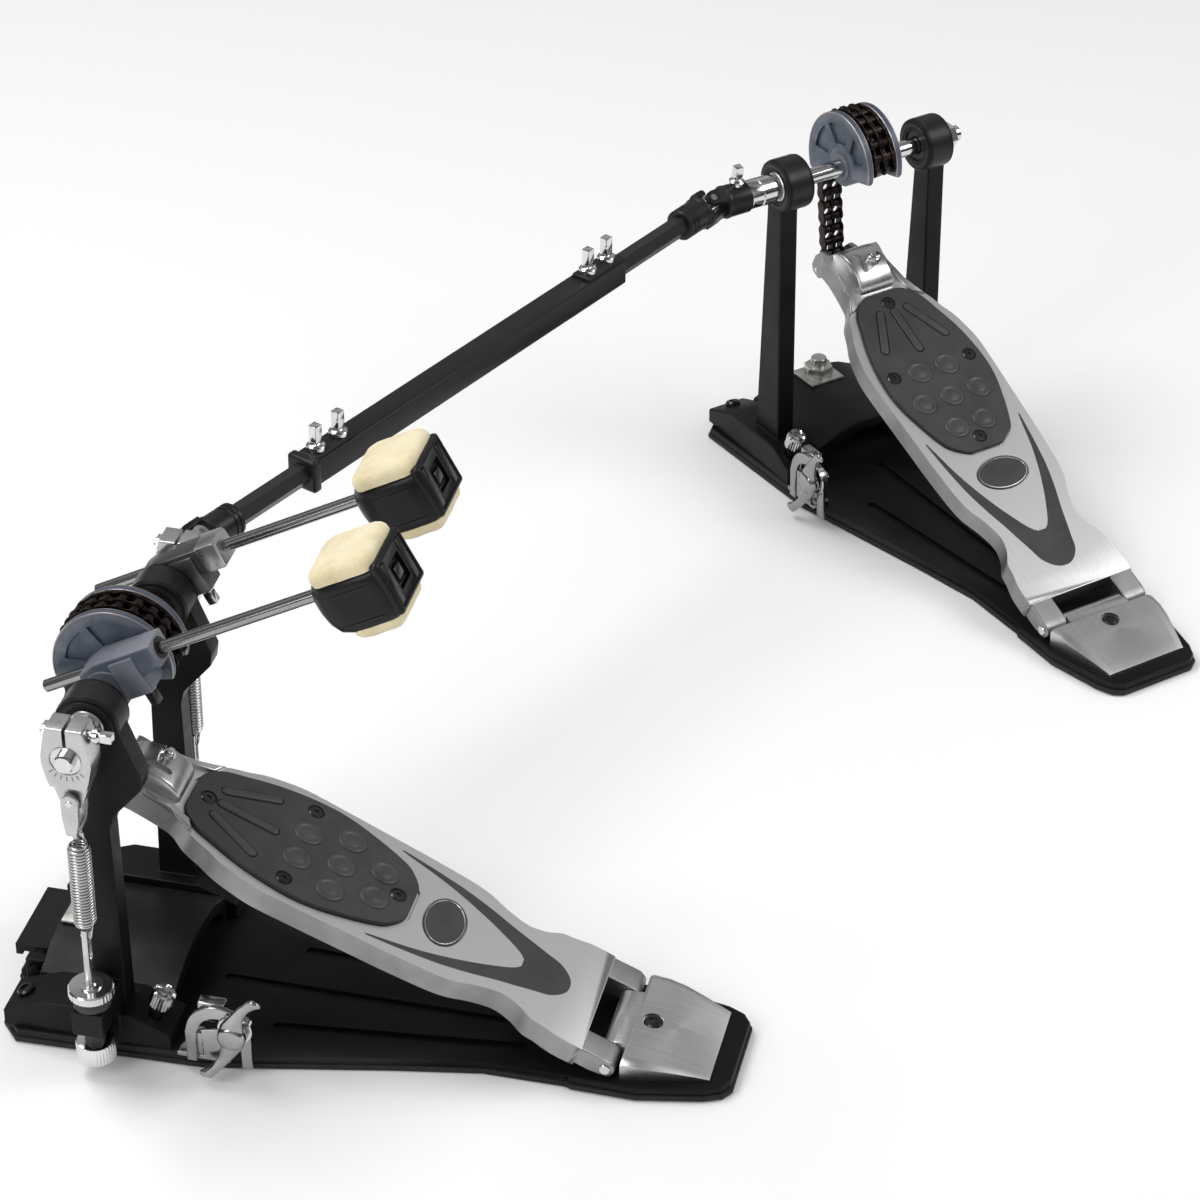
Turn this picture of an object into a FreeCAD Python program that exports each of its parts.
# Double bass drum pedal, left-footed layout: main pedal with two beaters, telescopic
# drive shaft with two universal joints, slave pedal. Millimetres, +Z up, +Y towards the
# drum, +X the player's right. Origin on the floor under the main axle.
import FreeCAD, Part
import math
import os
import re

Vec = FreeCAD.Vector
Rot = FreeCAD.Rotation
Place = FreeCAD.Placement
os.makedirs("parts", exist_ok=True)
doc = FreeCAD.newDocument("double_pedal")
sheet = doc.addObject("Spreadsheet::Sheet", "Dims")

# Driving dimensions; slopes, tilt, stroke and yaws are in degrees.
DIMS = {
    # axle, frame and base
    "axle_height": 195.0, "axle_rad": 5.0, "run_gap": 0.05, "post_x": 54.0,
    "housing_len": 12.0, "housing_rad": 16.0, "bearing_rad": 9.0,
    "mat_thick": 3.0, "plate_thick": 4.0,
    # footboard, its hinge and the heel plate
    "board_slope": 24.27, "board_hinge_y": -248.7, "board_hinge_z": 19.1, "board_depth": 12.0,
    "board_skin": 4.0, "pad_thick": 2.4, "pin_z": 13.0, "pin_rad": 2.5, "heel_back": 51.0,
    # cam and chain
    "rim_over": 2.5, "cam_wide": 24.0, "flange_thick": 3.2, "pitch_rad": 31.5, "cam_lift": 6.0,
    "chain_pitch": 8.0, "run_links": 10.0, "run_tilt": 7.6, "link_high": 7.0, "rivet_rad": 1.2,
    # beaters; distances along the rod start beside the axle
    "rod_rad": 3.25, "rod_slope": 28.5, "rod_offset": 9.0, "rod_tail": 35.0, "rod_front": 164.0,
    "head_at": 153.5, "head_wide": 38.0, "second_drop": 6.0, "hub_wide": 17.0,
    # springs
    "rocker_wide": 14.0, "spring_rad": 6.0, "spring_low": 84.0, "spring_top": 170.0,
    # drive shaft, joints and the place of the slave pedal
    "stroke": 59.0, "ujoint_x": 104.0, "shaft_len": 454.085, "shaft_yaw": -23.19875,
    "slave_yaw": -44.547, "slave_x": 597.626, "slave_y": -253.934, "slave_joint_x": -107.0,
    "tube_wide": 15.0, "tube_bore": 6.1, "inner_rad": 6.0, "fork_rad": 10.0,
    "cross_rad": 2.6, "fork_gap": 0.7, "hub_ratio": 1.01105,
}
for row, (alias, number) in enumerate(DIMS.items(), 1):
    sheet.set("A%d" % row, alias)
    sheet.set("B%d" % row, str(number))
    sheet.setAlias("B%d" % row, alias)
doc.recompute()


def size(alias):
    return float(sheet.get(alias))


AXLE_Z = size("axle_height")
POST_X = size("post_x")
HINGE_Y = size("board_hinge_y")
PIN_Z = size("pin_z")
PLATE_TOP = size("mat_thick") + size("plate_thick")
ARCH_HIGH = 24.0  # crown of the frame's arch above the plate
SIDES = (-1, 1)
UP = (0, 0, 1)
TO_PLAYER = (0, -1, 0)
MAIN_SPRING_X, SECOND_SPRING_X = -81.0, 84.0
MAIN_HUB_X, SECOND_HUB_X = -21.0, 68.0


# ---- modelling helpers ----
def bind(obj, prop, value):
    """A number is set; a text is an expression of the sheet's names."""
    if isinstance(value, str):
        obj.setExpression(prop, re.sub(r"[a-z_]+", r"Dims.\g<0>", value))
    else:
        setattr(obj, prop, value)


def frame(origin, x_axis, y_axis, z_axis):
    return Place(Vec(*origin), Rot(Vec(*x_axis), Vec(*y_axis), Vec(*z_axis), "ZXY"))


def side_frame(x, y=0, z=0):
    """Outlines in (y, z), thickness towards +X."""
    return frame((x, y, z), (0, 1, 0), UP, (1, 0, 0))


def flat_frame(z, y=0):
    """Outlines in (y, -x), thickness upwards."""
    return frame((0, y, z), (0, 1, 0), (-1, 0, 0), UP)


def cyl(rad, height, start, axis=UP):
    obj = doc.addObject("Part::Cylinder", "Cyl")
    bind(obj, "Radius", rad)
    bind(obj, "Height", height)
    obj.Placement = Place(Vec(*start), Rot(Vec(*UP), Vec(*axis)))
    return obj


def xcyl(rad, x0, x1, y=0, z=AXLE_Z):
    """Cylinder along X, on the axle line unless placed elsewhere."""
    return cyl(rad, abs(x1 - x0), (min(x0, x1), y, z), (1, 0, 0))


def block(x0, x1, y0, y1, z0, z1, place=Place()):
    """Box between two corners, given in the frame of place."""
    obj = doc.addObject("Part::Box", "Box")
    obj.Length = abs(x1 - x0)
    obj.Width = abs(y1 - y0)
    obj.Height = abs(z1 - z0)
    low = Vec(min(x0, x1), min(y0, y1), min(z0, z1))
    obj.Placement = place.multiply(Place(low, Rot()))
    return obj


def fuse(*parts):
    obj = doc.addObject("Part::MultiFuse", "Fuse")
    obj.Shapes = list(parts)
    obj.Refine = True
    return obj


def cut(base, *tools):
    obj = doc.addObject("Part::Cut", "Cut")
    obj.Base = base
    obj.Tool = tools[0] if len(tools) == 1 else fuse(*tools)
    return obj


def common(first, second):
    obj = doc.addObject("Part::Common", "Common")
    obj.Base = first
    obj.Tool = second
    return obj


def group(*parts):
    obj = doc.addObject("Part::Compound", "Group")
    obj.Links = list(parts)
    return obj


def sketch_feature(body, kind, outline, length):
    """Pad or Pocket of a closed outline on the body's XY plane."""
    plane = next(f for f in body.Origin.OriginFeatures if f.Role == "XY_Plane")
    sketch = body.newObject("Sketcher::SketchObject", "Sketch")
    sketch.AttachmentSupport = [(plane, "")]
    sketch.MapMode = "FlatFace"
    for start, end in zip(outline, outline[1:] + outline[:1]):
        sketch.addGeometry(Part.LineSegment(Vec(*start, 0), Vec(*end, 0)), False)
    feature = body.newObject("PartDesign::" + kind, kind)
    feature.Profile = sketch
    bind(feature, "Length", length)
    return feature


def pad(outline, length, place, pocket=None):
    """Padded outline; pocket is (outline, depth), cut upwards from the underside."""
    body = doc.addObject("PartDesign::Body", "Body")
    sketch_feature(body, "Pad", outline, length)
    if pocket:
        doc.recompute()
        sketch_feature(body, "Pocket", *pocket).Reversed = True
        doc.recompute()
    body.Placement = place
    return body


NODES = []


def node(name, obj, place=Place()):
    """Names a finished piece and moves it to its pedal's place."""
    doc.recompute()
    obj.Label = name
    obj.Placement = place.multiply(obj.Placement)
    NODES.append((name, obj))


def both_sides(half):
    """Closed outline from (distance along, half-width) points."""
    return half + [(dist, -wide) for dist, wide in reversed(half)]


def smooth(points, steps=3):
    """Catmull-Rom curve through the points."""
    curve = []
    for i in range(len(points) - 1):
        before, start, end = points[max(i - 1, 0)], points[i], points[i + 1]
        after = points[min(i + 2, len(points) - 1)]
        for k in range(steps):
            part = k / steps
            curve.append(tuple(
                0.5 * (2 * b + (c - a) * part + (2 * a - 5 * b + 4 * c - d) * part ** 2
                       + (3 * b - a - 3 * c + d) * part ** 3)
                for a, b, c, d in zip(before, start, end, after)))
    return curve + [points[-1]]


# ---- joint geometry ----
HALF_STROKE = math.radians(size("stroke") / 2)
HUB_ANGLE = HALF_STROKE * size("hub_ratio")
SHAFT_YAW = math.radians(size("shaft_yaw"))
SHAFT_DIR = Vec(math.cos(SHAFT_YAW), math.sin(SHAFT_YAW), 0)
MAIN_JOINT = Vec(size("ujoint_x"), 0, AXLE_Z)
SLAVE_JOINT = MAIN_JOINT + SHAFT_DIR * size("shaft_len")
SLAVE_PLACE = Place(Vec(size("slave_x"), size("slave_y"), 0), Rot(Vec(*UP), size("slave_yaw")))
# cross pins held by the axles' forks; AXLE_PIN_DIR is in the slave pedal's frame
HUB_PIN_DIR = Vec(0, -math.sin(HUB_ANGLE), math.cos(HUB_ANGLE))
AXLE_PIN_DIR = Vec(0, -math.sin(HALF_STROKE), math.cos(HALF_STROKE))
SLAVE_PIN_DIR = SLAVE_PLACE.Rotation.multVec(AXLE_PIN_DIR)
# cross pins held by the drive shaft's forks
SHAFT_PIN_MAIN = SHAFT_DIR.cross(HUB_PIN_DIR).normalize()
SHAFT_PIN_SLAVE = SHAFT_DIR.cross(SLAVE_PIN_DIR).normalize()


def fork(center, inward, pin_dir):
    """Fork parts: inward points from the fork's shaft into the joint, ears along pin_dir."""
    place = frame(center, inward, pin_dir, inward.cross(pin_dir))
    disc = cyl("fork_rad", 3.2, center - inward * 12, inward)
    ears = fuse(*[block(-9.5, 4.6, s * 6.7, s * 11, -4.6, 4.6, place) for s in (1, -1)])
    return [disc, common(ears, cyl("fork_rad", 16, center - inward * 11, inward))]


def pin_bore(center, pin_dir, rad):
    return cyl(rad, 40, center - pin_dir * 20, pin_dir)


# ---- base, frame and heel ----
# (y, half-width)
BASE_HALF = [
    (57, 60), (47, 71), (-50, 68), (-95, 58), (-145, 47), (-187, 39), (-229, 38),
    (-232, 40.5), (-265, 41), (-298, 34), (-307, 30), (-311, 24),
]
TONGUE_Y, TONGUE_HALF = 62, 24
GROOVES = [  # x0, x1, y0, y1
    (-7.6, -2.4, -189, -45), (-32, -26, -190, -80), (20, 25.5, -190, -79),
]
# arch section (height above the plate, half-width), over the top and back underneath
ARCH_HALF = [
    (ARCH_HIGH, 8), (21, 24), (14, 40), (0, 44), (0, 38), (8, 34), (14, 22), (17, 7),
]
# (y, height above the plate)
FOOT = [(54, 0), (54, 9), (30, 18), (-14, 18), (-34, 9), (-34, 0)]
# (y, z)
MAIN_POST = [
    (10, PLATE_TOP + 10), (8, AXLE_Z - 60), (12, AXLE_Z - 20), (14, AXLE_Z),
    (-14, AXLE_Z + 4), (-26, AXLE_Z - 26), (-25, AXLE_Z - 34), (-10, AXLE_Z - 52),
    (-8, AXLE_Z - 60), (-10, PLATE_TOP + 10),
]
SLAVE_POST = [
    (12, PLATE_TOP + 10), (7.5, AXLE_Z - 20), (7.5, AXLE_Z),
    (-7.5, AXLE_Z), (-7.5, AXLE_Z - 20), (-12, PLATE_TOP + 10),
]
# (y from the hinge, z)
HEEL_SIDE = [
    (-7.5, PLATE_TOP), (-7.5, 18.6), (-18, 17.6), (-34, 14), (-47, 9.8),
    (-size("heel_back"), PLATE_TOP + 2), (-size("heel_back"), PLATE_TOP),
]
# (y from the hinge, half-width)
HEEL_HALF = [(-5, 36.5), (-22, 35.5), (-52, 27)]
HEEL_SCREW = (0, HINGE_Y - 16.5, 10)
HEEL_SCREW_RAD = 2.5
JAW_PIN_Y, JAW_PIN_Z, JAW_PIN_RAD = 49, 18, 2.5
ROD_NECK_RAD = 3.2  # tension rods
WING_Y, WING_Z, WING_TURN = -70, 32, math.radians(30)
WING = [  # (across, along) from the screw
    (-4, -30), (4, -30), (6.5, -12), (8, 0), (6.5, 12), (4, 30),
    (-4, 30), (-6.5, 12), (-8, 0), (-6.5, -12),
]
SPUR_DIR = Vec(0, 0.34, -0.94)


def spur_point(side, back):
    """Point on a spur's axis, back millimetres before the start of its spike."""
    return Vec(side * 58, -27, 30) - SPUR_DIR * back


def spurs():
    return [fuse(cyl(3.2, 26, spur_point(s, 0), SPUR_DIR), cyl(6, 9, spur_point(s, 8), SPUR_DIR))
            for s in SIDES]


def spur_holes():
    return [cyl(3.3, 60, spur_point(s, 8), SPUR_DIR) for s in SIDES]


def base_slab(thick, z, grow):
    """Slab of the base outline with its tongue at the drum end, grown by grow."""
    half = [(y + (grow if y > 0 else -grow if y < -300 else 0), wide + grow)
            for y, wide in BASE_HALF]
    tongue = [(TONGUE_Y + grow, TONGUE_HALF), (half[0][0], TONGUE_HALF)]
    return pad(both_sides(tongue + half), thick, flat_frame(z))


def base_plate():
    grooves = [block(*plan, PLATE_TOP - 1.4, PLATE_TOP + 2) for plan in GROOVES]
    slab = base_slab("plate_thick", size("mat_thick"), -0.8)
    return cut(slab, *grooves, *spur_holes())


def frame_casting(is_main):
    """Arch across the base, feet, posts and bearing housings."""
    house = size("housing_len")
    arch_place = frame((0, -28, PLATE_TOP), UP, (1, 0, 0), (0, 1, 0))
    solids = [pad(both_sides(ARCH_HALF), 72, arch_place)]
    post = MAIN_POST if is_main else SLAVE_POST
    for s in SIDES:
        solids += [pad(FOOT, 26, side_frame(POST_X * s - 13, z=PLATE_TOP)),
                   pad(post, "housing_len", side_frame(POST_X * s - house / 2)),
                   xcyl("housing_rad", s * (POST_X + house / 2), s * (POST_X - house))]
    bores = [xcyl("bearing_rad", s * POST_X - 20, s * POST_X + 20) for s in SIDES] + spur_holes()
    if is_main:
        # arms for the tension rods
        for s in SIDES:
            solids += [block(s * 60, s * 90, -8, 8, 28, 42),
                       block(s * 60, s * 68, -8, 8, PLATE_TOP, 42)]
        # lugs for the hoop jaw pin
        solids += [block(s * 28, s * 34, 40, 54, PLATE_TOP, 23) for s in SIDES]
        bores += [cyl(3.3, 20, (x, 0, 25)) for x in (MAIN_SPRING_X, SECOND_SPRING_X)]
        bores.append(jaw_pin())
    return cut(fuse(*solids), *bores)


def bearings():
    half = size("housing_len") / 2
    return [cut(xcyl("bearing_rad", s * POST_X - half, s * POST_X + half),
                xcyl("axle_rad + run_gap", s * POST_X - 10, s * POST_X + 10)) for s in SIDES]


def heel_plate():
    """Wedge behind the hinge with the hinge's middle knuckle."""
    wedge = pad(HEEL_SIDE, 74, side_frame(-37, HINGE_Y))
    plan = pad(both_sides(HEEL_HALF), 30, flat_frame(0, HINGE_Y))
    half = 20.9
    knuckle = fuse(xcyl(5.0, -half, half, HINGE_Y, PIN_Z),
                   block(-half, half, HINGE_Y - 8, HINGE_Y, PIN_Z - 4.5, PIN_Z + 5))
    return cut(fuse(common(wedge, plan), knuckle), xcyl("pin_rad", -40, 40, HINGE_Y, PIN_Z),
               cyl(HEEL_SCREW_RAD, 30, HEEL_SCREW))


def frame_hardware():
    hinge_pin = xcyl("pin_rad", -36.5, 36.5, HINGE_Y, PIN_Z)
    heel_screw = fuse(cyl(HEEL_SCREW_RAD, 10, HEEL_SCREW), cyl(5, 1.8, (*HEEL_SCREW[:2], 18.4)))
    # hexagon bolt on a square washer
    crown = PLATE_TOP + ARCH_HIGH
    angles = [math.radians(60 * k) for k in range(6)]
    hexagon = [(9.2 * math.cos(angle), 9.2 * math.sin(angle)) for angle in angles]
    bolt = fuse(block(-12, 12, 20, 42, crown, crown + 2),
                pad(hexagon, 7, Place(Vec(0, 31, crown + 1.9), Rot())),
                cyl(5, 13, (0, 31, crown + 1)))
    # foot screws stand square to the slope of the feet
    tilt = math.radians(20.6)
    screws = [cyl(4.5, 3, (s * POST_X, 46, PLATE_TOP + 12.2), (0, math.sin(tilt), math.cos(tilt)))
              for s in SIDES]
    # side clamp block beside the base on the player's left
    clamp = cut(fuse(block(-68, -58, -66, -38, PLATE_TOP, PLATE_TOP + 4),
                     block(-72, -66, -78, -44, PLATE_TOP + 0.5, 44)),
                xcyl(3.55, -80, -60, WING_Y, WING_Z))
    return [hinge_pin, heel_screw, bolt, *screws, clamp]


def wing_screw():
    """Wing screw in the side clamp block."""
    cos, sin = math.cos(WING_TURN), math.sin(WING_TURN)
    outline = [(u * cos - v * sin, u * sin + v * cos) for u, v in WING]
    return fuse(pad(outline, 5, side_frame(-81, WING_Y, WING_Z)),
                xcyl(8, -82, -73, WING_Y, WING_Z), xcyl(3.5, -73, -64, WING_Y, WING_Z))


# ---- footboard ----
SLOPE = math.radians(size("board_slope"))
SLOPE_COS, SLOPE_SIN = math.cos(SLOPE), math.sin(SLOPE)
# local X up the board, local Z out of its tread
BOARD = frame((0, HINGE_Y, size("board_hinge_z")), (0, SLOPE_COS, SLOPE_SIN), (-1, 0, 0),
              (0, -SLOPE_SIN, SLOPE_COS))
# (distance up the board, half-width)
BOARD_HALF = [
    (12.5, 37), (25, 37), (35, 35), (42, 34), (50, 29.5), (60, 27.5), (72, 30.5),
    (88, 36.5), (115, 39), (139, 40), (166, 41), (188, 41.5), (200, 40), (212, 37),
    (221, 33), (231, 29), (239, 23), (246, 21), (264, 19.5), (276, 20.5), (278, 19.5),
]
PAD_HALF = [
    (118, 13), (123, 19), (128, 23.5), (138, 27.5), (148, 31), (159, 34), (170, 35.6),
    (180, 35.6), (191, 34.5), (202, 32.5), (211, 30), (220, 27), (230, 24), (237, 19), (241, 13),
]
WALL = 3.5


def footboard():
    """Tray open underneath, with two hinge tabs at the heel."""
    half = smooth(BOARD_HALF)
    inner = [(dist, wide - WALL) for dist, wide in half if 20 < dist < 270]
    low = BOARD.multiply(Place(Vec(0, 0, -size("board_depth")), Rot()))
    tray = pad(both_sides(half), "board_depth", low,
               (both_sides(inner), "board_depth - board_skin"))
    # hinge pin position in the board's frame
    drop = PIN_Z - size("board_hinge_z")
    pin_along, pin_out = drop * SLOPE_SIN, drop * SLOPE_COS
    tabs = []
    for s in SIDES:
        x0, x1 = s * 21.4, s * 36.4
        tabs += [xcyl(5.0, x0, x1, HINGE_Y, PIN_Z),
                 block(pin_along, 14, x0, x1, pin_out - 4.6, 0, BOARD)]
    return cut(fuse(tray, *tabs), xcyl("pin_rad + run_gap", -40, 40, HINGE_Y, PIN_Z))


def toe_clamp():
    """Block under the toe, two cheeks that hold the chain's end, plate on top."""
    under = -size("board_skin") - 0.05
    cheeks = [block(258, 291, s * 8.1, s * 12.0, -27, under, BOARD) for s in SIDES]
    clamp = cut(fuse(block(258, 277.9, -12, 12, -15, under, BOARD), *cheeks),
                block(268.4, 279, -22, 22, -12.05, -3.9, BOARD))
    return group(clamp, block(247, 273, -15, 12, 0, 6, BOARD))


# ---- axle, cam and chain ----
def slave_axle():
    """Axle with a collar and the fork of the slave joint."""
    joint_x = size("slave_joint_x")
    joint = Vec(joint_x, 0, AXLE_Z)
    axle = fuse(xcyl("axle_rad", joint_x + 13, 74), xcyl(8, 62, 70), xcyl(9, joint_x + 11, -62),
                *fork(joint, Vec(-1, 0, 0), AXLE_PIN_DIR))
    return cut(axle, pin_bore(joint, AXLE_PIN_DIR, "cross_rad + fork_gap"))


def cam_point(degrees, offset):
    """Point (y, z) off the pitch line, which closes in over the player's side."""
    over = max(0.0, degrees - 80.0) / 95.0
    rad = size("pitch_rad") - size("cam_lift") * over ** 1.3 + offset
    angle = math.radians(degrees)
    return (rad * math.cos(angle), AXLE_Z + rad * math.sin(angle))


def cam():
    half = size("cam_wide") / 2

    def disc(offset, thick, x):
        outline = [cam_point(degrees, offset) for degrees in range(-24, 182, 5)]
        return pad(outline, thick, side_frame(x))
    rim = size("rim_over")
    solid = fuse(disc(-4.5, 2 * (half - 1), -half + 1), disc(rim, "flange_thick", -half),
                 disc(rim, "flange_thick", half - size("flange_thick")), xcyl(12, -half, half))
    return cut(solid, xcyl("axle_rad", -20, 20))


def next_pin_angle(degrees):
    """Angle of the pin one chain pitch further round the cam, by bisection."""
    low, high = degrees + 5, degrees + 30
    start = cam_point(degrees, 0)
    for _ in range(60):
        middle = (low + high) / 2
        if math.dist(start, cam_point(middle, 0)) < size("chain_pitch"):
            low = middle
        else:
            high = middle
    return (low + high) / 2


def chain_pins():
    """Pins (y, z) round the cam, lowest first, and down the straight run."""
    pitch, tilt = size("chain_pitch"), math.radians(size("run_tilt"))
    degrees = math.degrees(-tilt + math.asin(pitch / 2 / size("pitch_rad")))
    wrap = []
    while degrees <= 172:
        wrap.append(cam_point(degrees, 0))
        degrees = next_pin_angle(degrees)
    y, z = wrap[0]
    run = [(y - math.sin(tilt) * pitch * k, z - math.cos(tilt) * pitch * k)
           for k in range(int(size("run_links")) + 1)]
    return wrap, run


WRAP_PINS, RUN_PINS = chain_pins()


def chain_link(start, end, outer):
    """Link between two pin centres (y, z); outer links carry the rivets."""
    dy, dz = end[0] - start[0], end[1] - start[1]
    length = math.hypot(dy, dz)
    dy, dz = dy / length, dz / length
    half = size("link_high") / 2
    x0, x1 = (6.2, 7.1) if outer else (4.9, 6.0)
    thick = x1 - x0
    solids = []
    for low in (-x1, x0):
        place = frame((low, *start), (0, dy, dz), (0, -dz, dy), (1, 0, 0))
        solids.append(block(0, length, -half, half, 0, thick, place))
        solids += [xcyl(half, low, low + thick, *pin) for pin in (start, end)]
    rad = "rivet_rad" if outer else 2.5
    solids += [xcyl(rad, -x0, x0, *pin) for pin in (start, end)]
    if outer:
        return fuse(*solids)
    return cut(fuse(*solids), *[xcyl("rivet_rad + run_gap", -7, 7, *pin) for pin in (start, end)])


def wrap_link(k):
    return chain_link(WRAP_PINS[k], WRAP_PINS[k + 1], k % 2 == 0)


def run_link(k):
    return chain_link(RUN_PINS[k], RUN_PINS[k + 1], k % 2 == 1)


# ---- one pedal ----
def pedal(side, place, is_main):
    def piece(name, obj):
        node(side + "_" + name, obj, place)
    piece("rubber_mat", cut(base_slab("mat_thick", 0, 0), *spur_holes()))
    piece("base_plate", base_plate())
    piece("frame_casting", frame_casting(is_main))
    hardware = frame_hardware()
    if is_main:
        piece("bearings", group(*bearings()))
    else:
        hardware += bearings() + spurs()
    piece("heel_plate", heel_plate())
    piece("frame_hardware", group(*hardware))
    piece("wing_screw", wing_screw())
    piece("footboard", footboard())
    piece("foot_pad", pad(both_sides(smooth(PAD_HALF)), "pad_thick", BOARD))
    piece("toe_clamp", toe_clamp())
    piece("axle", xcyl("axle_rad", -92, 91) if is_main else slave_axle())
    piece("cam", cam())
    # the three lowest links round the cam are pieces of their own, numbered downwards
    piece("chain_wrap", group(*[wrap_link(k) for k in range(3, len(WRAP_PINS) - 1)]))
    for k in range(3):
        piece("chain_link_%d" % (k + 1), wrap_link(2 - k))
    piece("chain_run", group(*[run_link(k) for k in range(len(RUN_PINS) - 1)]))


# ---- tension rods, spurs and hoop jaw of the main pedal ----
def tension_rod(x):
    low = size("spring_low")
    solid = fuse(cyl(ROD_NECK_RAD, 54, (x, 0, 7)),
                 block(x - 3.3, x + 3.3, -5.5, 5.5, 56, low + 6))
    return cut(solid, xcyl(1.8, x - 9, x + 9, z=low))


def tension_nuts(x):
    """Nuts above and below the casting's arm."""
    return [cut(cyl(11.5, 13, (x, 0, 42.05)), cyl(ROD_NECK_RAD, 20, (x, 0, 40))),
            cut(cyl(10, 14, (x, 0, 9)), cyl(ROD_NECK_RAD, 20, (x, 0, 5)))]


def jaw_pin():
    return xcyl(JAW_PIN_RAD, -36, 36, JAW_PIN_Y, JAW_PIN_Z)


def hoop_jaw():
    solid = fuse(block(-24, 24, 46, 63, 19, 23), xcyl(4, -27.9, 27.9, JAW_PIN_Y, JAW_PIN_Z),
                 block(-24, 24, 59.5, 63, 16.5, 20))
    return cut(solid, xcyl(JAW_PIN_RAD + 0.05, -40, 40, JAW_PIN_Y, JAW_PIN_Z))


# ---- beaters ----
ROD_SLOPE = math.radians(size("rod_slope"))
ROD_DIR = Vec(0, -math.cos(ROD_SLOPE), math.sin(ROD_SLOPE))
ROD_NORMAL = Vec(0, math.sin(ROD_SLOPE), math.cos(ROD_SLOPE))
# hub section (along the rod, along its normal) from the axle
HUB = [
    (-13, 3), (-9, 12.5), (1, 15.6), (34, 15.6), (34, 2.6), (22.5, 2.6),
    (22.5, -7.5), (8, -7.5), (-8, -6),
]


def rod_frame(x):
    """Local X along the rod, local Y along its normal, from the axle."""
    return frame((x, 0, AXLE_Z), ROD_DIR, ROD_NORMAL, (-1, 0, 0))


def rod_point(x, dist, offset):
    return Vec(x, 0, AXLE_Z) + ROD_NORMAL * offset + ROD_DIR * dist


def hub_blank(x, ring_rad, wide):
    """Block along the rod joined to a ring on the axle."""
    ring = xcyl(ring_rad, x - wide / 2, x + wide / 2)
    return fuse(ring, pad(HUB, wide, rod_frame(x + wide / 2)))


def rod_bore(x):
    return cyl("rod_rad + run_gap", 70, rod_point(x, -25, size("rod_offset")), ROD_DIR)


def main_hub():
    wide = size("hub_wide")
    reach = wide / 2 + 1
    solid = cut(hub_blank(MAIN_HUB_X, 12, wide), rod_bore(MAIN_HUB_X))
    return cut(solid, xcyl("axle_rad", MAIN_HUB_X - reach, MAIN_HUB_X + reach))


def second_hub():
    """Hub and sleeve turning on the main axle, with the fork of the main joint."""
    solid = fuse(hub_blank(SECOND_HUB_X, 13, 15.0), xcyl(9, 75, size("ujoint_x") - 11),
                 *fork(MAIN_JOINT, Vec(1, 0, 0), HUB_PIN_DIR))
    return cut(solid, rod_bore(SECOND_HUB_X), xcyl("axle_rad + run_gap", 50, 91.5),
               pin_bore(MAIN_JOINT, HUB_PIN_DIR, "cross_rad + fork_gap"))


def hub_bolts(hub_x, spring_x):
    """Drum-key bolt on the hub's underside and the clamping bolt of the rocker."""
    start = rod_point(hub_x, 15, -7.5)
    key_bolt = fuse(*[cyl(rad, high, start, -ROD_NORMAL) for rad, high in ((4.0, 3), (2.4, 10))])
    return group(key_bolt, cyl(2.2, 32, (spring_x, 15, AXLE_Z + 12), TO_PLAYER))


def beater(prefix, x, drop=0.0):
    """Rod, block and felts; drop slides the beater down its hub."""
    place = rod_frame(x)
    off = size("rod_offset")
    head = size("head_at") - drop
    half = size("head_wide") / 2
    rod_start = rod_point(x, -size("rod_tail") - drop, off)
    node(prefix + "_beater_rod", cyl("rod_rad", "rod_tail + rod_front", rod_start, ROD_DIR))

    # web through the block into both felts
    web = (head - 12, head + 12, off - 21, off + 16, -half + 3, half - 3, place)
    core = fuse(block(head - 17, head + 17, off - 17.5, off + 12, -half, half, place),
                block(*web), cyl(11, 12, rod_point(x, head - 27, off), ROD_DIR))
    bore = cyl("rod_rad + run_gap", "rod_front - head_at + 28.2",
               rod_point(x, head - 28, off), ROD_DIR)
    node(prefix + "_beater_block", cut(core, bore))

    # flat felt towards the drum, deeper felt opposite: low, high, start along the rod
    sections = ((off + 12.0, off + 19.3, head - 19), (off - 23.8, off - 17.5, head - 12.5))
    felts = [cut(block(start, head + 14.5, low, high, -half + 1, half - 1, place), block(*web))
             for low, high, start in sections]
    node(prefix + "_beater_felts", group(*felts))


# ---- springs ----
# rocker section (y, height from the axle)
ROCKER = [
    (9.8, 17.4), (-9.1, 17.4), (-12.6, 1), (-10.5, -13), (-5, -28), (-3, -30),
    (3, -30), (5, -28), (10.5, -13), (12.6, 1),
]


def rocker(x, bore_rad):
    """Split clamp on the axle, narrowed below to a tongue with the stirrup's pin."""
    half = size("rocker_wide") / 2
    reach = half + 1
    body = pad(ROCKER, "rocker_wide", side_frame(x - half, z=AXLE_Z))
    clamp = cut(body, xcyl(bore_rad, x - reach, x + reach),
                block(x - reach, x + reach, -0.8, 0.8, AXLE_Z, AXLE_Z + 20),
                *[block(x + s * 3.5, x + s * reach, -14, 14, AXLE_Z - 40, AXLE_Z - 16)
                  for s in SIDES])
    solid = fuse(clamp, xcyl(1.8, x - 4.8, x + 4.8, z=size("spring_top")))
    return cut(solid, cyl(2.25, 40, (x, 20, AXLE_Z + 12), TO_PLAYER))


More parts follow.
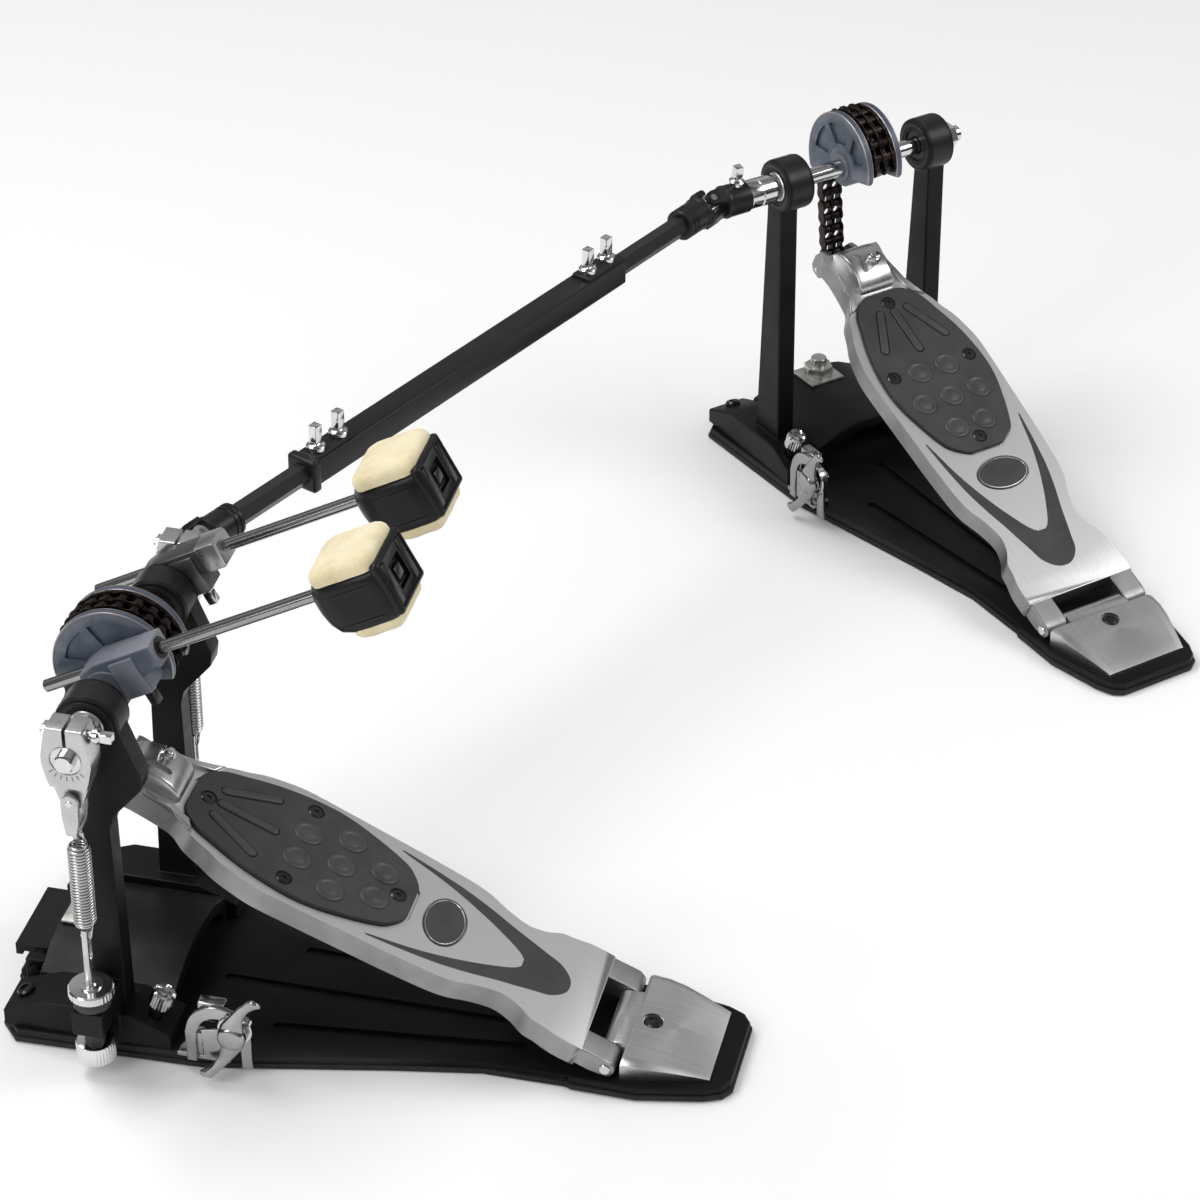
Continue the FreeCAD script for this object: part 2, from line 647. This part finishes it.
def stirrup(x):
    """Two straps beside the rocker, a yoke and a stem below them."""
    top = size("spring_top")
    straps = [block(x + s * 5.0, x + s * 7.6, -4.5, 4.5, top - 19, top) for s in SIDES]
    ends = [xcyl(4.5, x + s * 5.0, x + s * 7.6, z=top) for s in SIDES]
    yoke = block(x - 7.6, x + 7.6, -4.5, 4.5, top - 21, top - 17)
    solid = fuse(*straps, *ends, yoke, cyl(2.0, 8, (x, 0, top - 28)))
    return cut(solid, xcyl(2.2, x - 9, x + 9, z=top))


def spring(x):
    """Spring as a tube."""
    low = size("spring_low")
    return cut(cyl("spring_rad", "spring_top - spring_low - 38", (x, 0, low + 7)),
               cyl("spring_rad - 1.8", 80, (x, 0, low)))


# ---- drive shaft; distances are from the main joint ----
SHAFT = frame(MAIN_JOINT, SHAFT_DIR, (-SHAFT_DIR.y, SHAFT_DIR.x, 0), UP)
TUBE_START, TUBE_END = 84, 362
SHAFT_BOLTS_AT = (96.4, 114.6, 335, 352.3)
HALF_TUBE = size("tube_wide") / 2


def shaft_point(dist, rise=0.0):
    return MAIN_JOINT + SHAFT_DIR * dist + Vec(0, 0, rise)


def shaft_tube():
    """Square tube with an end collar, two raised strips and bolt holes."""
    def square(end, half):
        return block(TUBE_START, end, -half, half, -half, half, SHAFT)
    strips = [block(start, end, -6, 6, HALF_TUBE - 1, HALF_TUBE + 2, SHAFT)
              for start, end in ((TUBE_START, 121), (328, TUBE_END))]
    holes = [cyl(2.2, 30, shaft_point(dist)) for dist in SHAFT_BOLTS_AT]
    return cut(fuse(square(TUBE_END, HALF_TUBE), square(90, HALF_TUBE + 2), *strips),
               cyl("tube_bore", 320, shaft_point(60), SHAFT_DIR), *holes)


def shaft_rod(joint, inward, pin_dir, rod_start, rod_len, boss_start):
    """Round rod with a boss and a fork at its joint."""
    solid = fuse(cyl("inner_rad", rod_len, shaft_point(rod_start), SHAFT_DIR),
                 cyl(9.5, 19, shaft_point(boss_start), SHAFT_DIR), *fork(joint, inward, pin_dir))
    return cut(solid, pin_bore(joint, pin_dir, "cross_rad + run_gap"))


def shaft_bolt(dist):
    return fuse(cyl(2.2, 20, shaft_point(dist, 6.6)),
                cyl(4.5, 5, shaft_point(dist, HALF_TUBE + 2.05)),
                block(-2.5, 2.5, -2.5, 2.5, 14, 25, Place(shaft_point(dist), Rot())))


def joint_cross(center, first, second):
    pins = [cyl("cross_rad", 19.2, center - pin_dir * 9.6, pin_dir) for pin_dir in (first, second)]
    place = frame(center, first, second, first.cross(second))
    return fuse(*pins, block(-4, 4, -4, 4, -4, 4, place))


# ---- assembly ----
pedal("main", Place(), True)
SPRINGS_X = (MAIN_SPRING_X, SECOND_SPRING_X)
node("main_tension_rods", group(*[tension_rod(x) for x in SPRINGS_X]))
node("main_tension_nuts", group(*[nut for x in SPRINGS_X for nut in tension_nuts(x)]))
node("main_spurs", group(*spurs()))
node("main_hoop_jaw", hoop_jaw())
node("main_jaw_pin", jaw_pin())

node("main_beater_hub", main_hub())
node("main_hub_bolts", hub_bolts(MAIN_HUB_X, MAIN_SPRING_X))
beater("main", MAIN_HUB_X)
node("second_hub", second_hub())
node("second_hub_bolts", hub_bolts(SECOND_HUB_X, SECOND_SPRING_X))
beater("second", SECOND_HUB_X, size("second_drop"))
for prefix, x, bore_rad in (("main", MAIN_SPRING_X, "axle_rad"), ("second", SECOND_SPRING_X, 9.0)):
    node(prefix + "_spring_rocker", rocker(x, bore_rad))
    node(prefix + "_stirrup", stirrup(x))
    node(prefix + "_spring", spring(x))

node("shaft_tube", shaft_tube())
node("shaft_rod_main", shaft_rod(MAIN_JOINT, -SHAFT_DIR, SHAFT_PIN_MAIN, 11.5, 129.5, 11))
node("shaft_rod_slave", shaft_rod(SLAVE_JOINT, SHAFT_DIR, SHAFT_PIN_SLAVE, 214,
                                  "shaft_len - 225.5", size("shaft_len") - 30))
node("shaft_bolts", group(*[shaft_bolt(dist) for dist in SHAFT_BOLTS_AT]))
node("cross_main", joint_cross(MAIN_JOINT, HUB_PIN_DIR, SHAFT_PIN_MAIN))
node("cross_slave", joint_cross(SLAVE_JOINT, SLAVE_PIN_DIR, SHAFT_PIN_SLAVE))
pedal("slave", SLAVE_PLACE, False)

doc.recompute()
for obj in doc.Objects:
    if "Invalid" in obj.State or "Error" in obj.State:
        raise RuntimeError("%s (%s) is in state %s" % (obj.Name, obj.Label, obj.State))
for name, obj in NODES:
    if obj.Shape.isNull() or not obj.Shape.isValid() or not obj.Shape.Solids:
        raise RuntimeError("bad shape: " + name)
for name, obj in NODES:
    obj.Shape.exportStep("parts/%s.step" % name)
print(len(NODES), "nodes")
